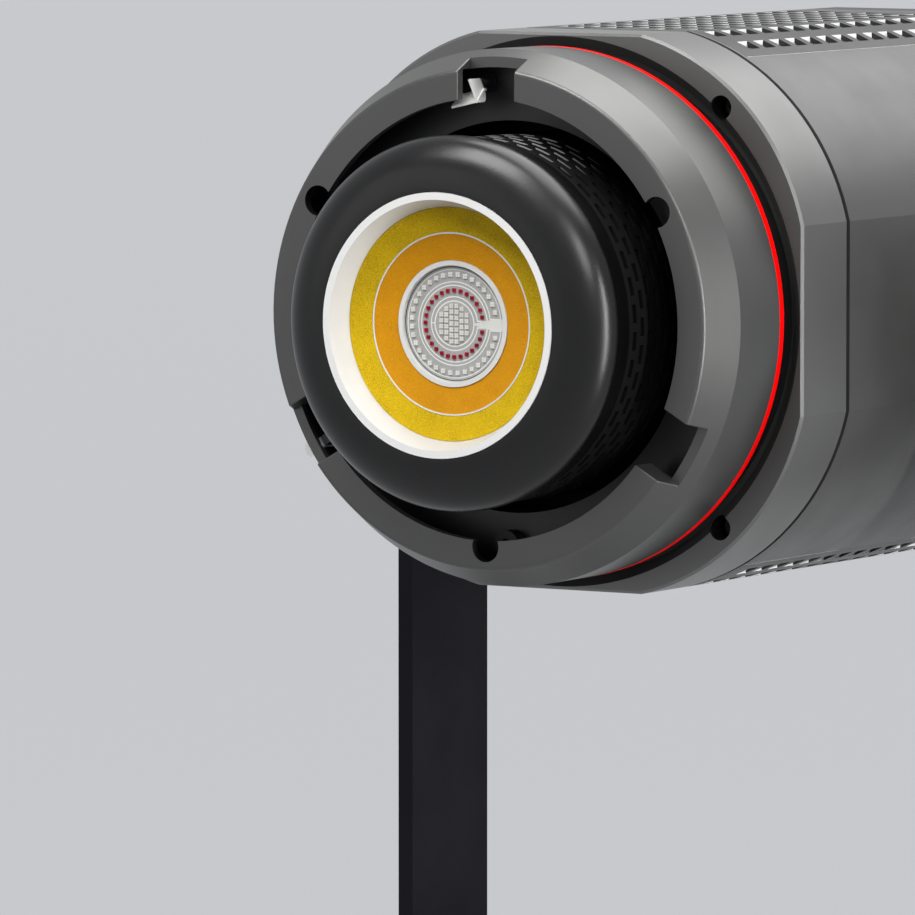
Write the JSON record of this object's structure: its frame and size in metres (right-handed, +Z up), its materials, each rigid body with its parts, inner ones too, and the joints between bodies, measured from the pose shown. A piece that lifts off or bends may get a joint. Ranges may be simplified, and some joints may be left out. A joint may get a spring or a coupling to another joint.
{
  "type": "led video light",
  "caption": "Cylindrical studio light head with a ringed emitter in a white cup, a bayonet modifier mount and louvred shells, tilting in a flat U yoke on a stand socket.",
  "frame": {"origin": "centre of the mouth of the stand socket under the yoke", "axes": "+Z up the stand socket, -Y the way the light faces when level, X along the tilt pivots"},
  "size_m": [0.2039, 0.2729, 0.3247],
  "materials": {
    "ring_grey": "satin dark grey anodised, fine grain",
    "shell_grey": "satin grey anodised",
    "louvre_grey": "satin grey anodised sheet",
    "yoke_black": "satin black powder coat",
    "cap_black": "satin black moulded",
    "black_plastic": "matte black moulded",
    "black_steel": "black oxide",
    "bright_steel": "bright, finely brushed",
    "accent_red": "gloss red",
    "cup_white": "semi-gloss white",
    "yellow_phosphor": "translucent silicone look, fine grain",
    "orange_phosphor": "translucent silicone look, fine grain",
    "board_white": "pale printed board",
    "chip_pale": "pale cream phosphor chips",
    "chip_red": "deep red chips",
    "divider_white": "matte white",
    "raw_aluminium": "mill finish",
    "copper": "bare copper",
    "circuit_green": "solder mask",
    "part_grey": "moulded component bodies",
    "gasket_rubber": "soft black",
    "screen_dark": "dark display face",
    "window_clear": "tinted clear"
  },
  "bodies": {
    "stand": {"yoke": "yoke_black", "stand_receiver": "yoke_black", "receiver_bolt": "bright_steel"},
    "head": {"mount_ring": "ring_grey", "mount_screws": "black_steel", "leaf_spring": "bright_steel", "leaf_rivet": "bright_steel", "accent_ring": "accent_red", "mount_base": "black_plastic", "front_frame": "ring_grey", "frame_screws": "black_steel", "frame_gasket": "gasket_rubber", "upper_shell": "shell_grey", "lower_shell": "shell_grey", "top_louvre_panel": "louvre_grey", "bottom_louvre_panel": "louvre_grey", "tilt_brackets": "raw_aluminium", "pivot_bosses": "shell_grey", "friction_washers": "black_plastic", "pivot_bolts": "bright_steel", "pivot_caps": "black_plastic", "emitter_board": "board_white", "emitter_dam": "divider_white", "outer_emitters": "chip_pale", "red_emitters": "chip_red", "centre_emitters": "chip_pale", "inner_glow_ring": "orange_phosphor", "glow_divider": "divider_white", "outer_glow_ring": "yellow_phosphor", "reflector_cup": "cup_white", "front_cap": "cap_black", "heat_spreader": "raw_aluminium", "vent_sleeve": "cap_black", "sink_base": "raw_aluminium", "heat_pipes": "copper", "cooling_fins": "raw_aluminium", "fan_frame": "black_plastic", "driver_board": "circuit_green", "power_parts": "part_grey", "board_standoffs": "bright_steel", "control_board": "circuit_green", "display_module": "screen_dark", "display_window": "window_clear", "panel_switches": "part_grey", "power_inlet": "black_plastic", "data_port": "bright_steel", "rear_cover": "black_plastic"},
    "tilt_knob": {"tilt_knob": "black_plastic"},
    "release_slider": {"release_slider": "bright_steel"},
    "dial_left": {"dial_left": "black_plastic"},
    "dial_right": {"dial_right": "black_plastic"},
    "button_1": {"button_1": "black_plastic"},
    "button_2": {"button_2": "black_plastic"},
    "button_3": {"button_3": "black_plastic"},
    "power_rocker": {"power_rocker": "black_plastic"},
    "fan_rotor": {"fan_rotor": "black_plastic"},
    "stud_clamp": {"stud_screw": "bright_steel", "stud_knob": "black_plastic"},
    "umbrella_clamp": {"umbrella_screw": "black_plastic"}
  },
  "joints": [
    {"name": "head_tilt", "type": "hinge", "parent": "stand", "child": "head", "pos_m": [0, 0, 0.2515], "axis": [1, 0, 0], "range_deg": [-135, 135]},
    {"name": "tilt_knob_turn", "type": "hinge", "parent": "head", "child": "tilt_knob", "pos_m": [0.097, 0, 0.2515], "axis": [1, 0, 0], "range_deg": [-270, 0]},
    {"name": "mount_release", "type": "slide", "parent": "head", "child": "release_slider", "axis": [0, 1, 0], "range_m": [0, 0.004], "stiffness_N_per_m": 400, "springref_m": -0.001},
    {"name": "dial_left_turn", "type": "hinge", "parent": "head", "child": "dial_left", "pos_m": [-0.05, 0.1195, 0.2715], "axis": [0, 1, 0], "continuous": true},
    {"name": "dial_right_turn", "type": "hinge", "parent": "head", "child": "dial_right", "pos_m": [0.05, 0.1195, 0.2715], "axis": [0, 1, 0], "continuous": true},
    {"name": "button_1_press", "type": "slide", "parent": "head", "child": "button_1", "axis": [0, -1, 0], "range_m": [0, 0.0008], "stiffness_N_per_m": 600, "springref_m": -0.0004},
    {"name": "button_2_press", "type": "slide", "parent": "head", "child": "button_2", "axis": [0, -1, 0], "range_m": [0, 0.0008], "stiffness_N_per_m": 600, "springref_m": -0.0004},
    {"name": "button_3_press", "type": "slide", "parent": "head", "child": "button_3", "axis": [0, -1, 0], "range_m": [0, 0.0008], "stiffness_N_per_m": 600, "springref_m": -0.0004},
    {"name": "power_rocker_tip", "type": "hinge", "parent": "head", "child": "power_rocker", "pos_m": [-0.033, 0.1115, 0.2075], "axis": [-1, 0, 0], "range_deg": [0, 16]},
    {"name": "fan_spin", "type": "hinge", "parent": "head", "child": "fan_rotor", "pos_m": [0, 0.0405, 0.2515], "axis": [0, 1, 0], "continuous": true},
    {"name": "stud_clamp_turn", "type": "hinge", "parent": "stand", "child": "stud_clamp", "pos_m": [0.026, 0, 0.018], "axis": [1, 0, 0], "range_deg": [-360, 0]},
    {"name": "umbrella_clamp_turn", "type": "hinge", "parent": "stand", "child": "umbrella_clamp", "pos_m": [-0.023, 0, 0.045], "axis": [-1, 0, 0], "range_deg": [-360, 0]}
  ]
}
